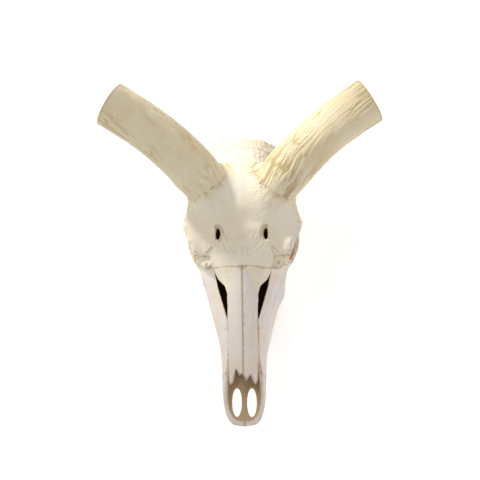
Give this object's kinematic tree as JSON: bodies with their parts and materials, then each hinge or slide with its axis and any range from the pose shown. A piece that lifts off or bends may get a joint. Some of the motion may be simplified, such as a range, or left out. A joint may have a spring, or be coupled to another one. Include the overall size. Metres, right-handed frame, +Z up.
{
  "type": "kudu skull",
  "caption": "Bleached antelope skull without its lower jaw, resting on its cheek teeth, with bare striated horn cores sawn off short.",
  "frame": {"origin": "on the table the skull rests on, under the middle of its bounding box", "axes": "+Y from the snout to the back of the head, +X to the animal's left, +Z up"},
  "size_m": [0.373, 0.4219, 0.2652],
  "materials": {
    "cranium_bone": "dry, bleached cream bone",
    "face_bone": "dry, bleached bone with a faint pink cast",
    "horn_core": "rough, furrowed yellowish bone"
  },
  "bodies": {
    "root": {"horn_core_left": "horn_core", "horn_core_right": "horn_core", "nasal_left": "face_bone", "nasal_right": "face_bone", "premaxilla_left": "face_bone", "premaxilla_right": "face_bone", "maxilla_left": "face_bone", "maxilla_right": "face_bone", "zygomatic_left": "face_bone", "zygomatic_right": "face_bone", "lacrimal_left": "face_bone", "lacrimal_right": "face_bone", "frontal": "cranium_bone", "pterygoid": "cranium_bone", "parietal": "cranium_bone", "temporal_left": "cranium_bone", "temporal_right": "cranium_bone", "sphenoid": "cranium_bone", "occipital": "cranium_bone"}
  },
  "joints": []
}
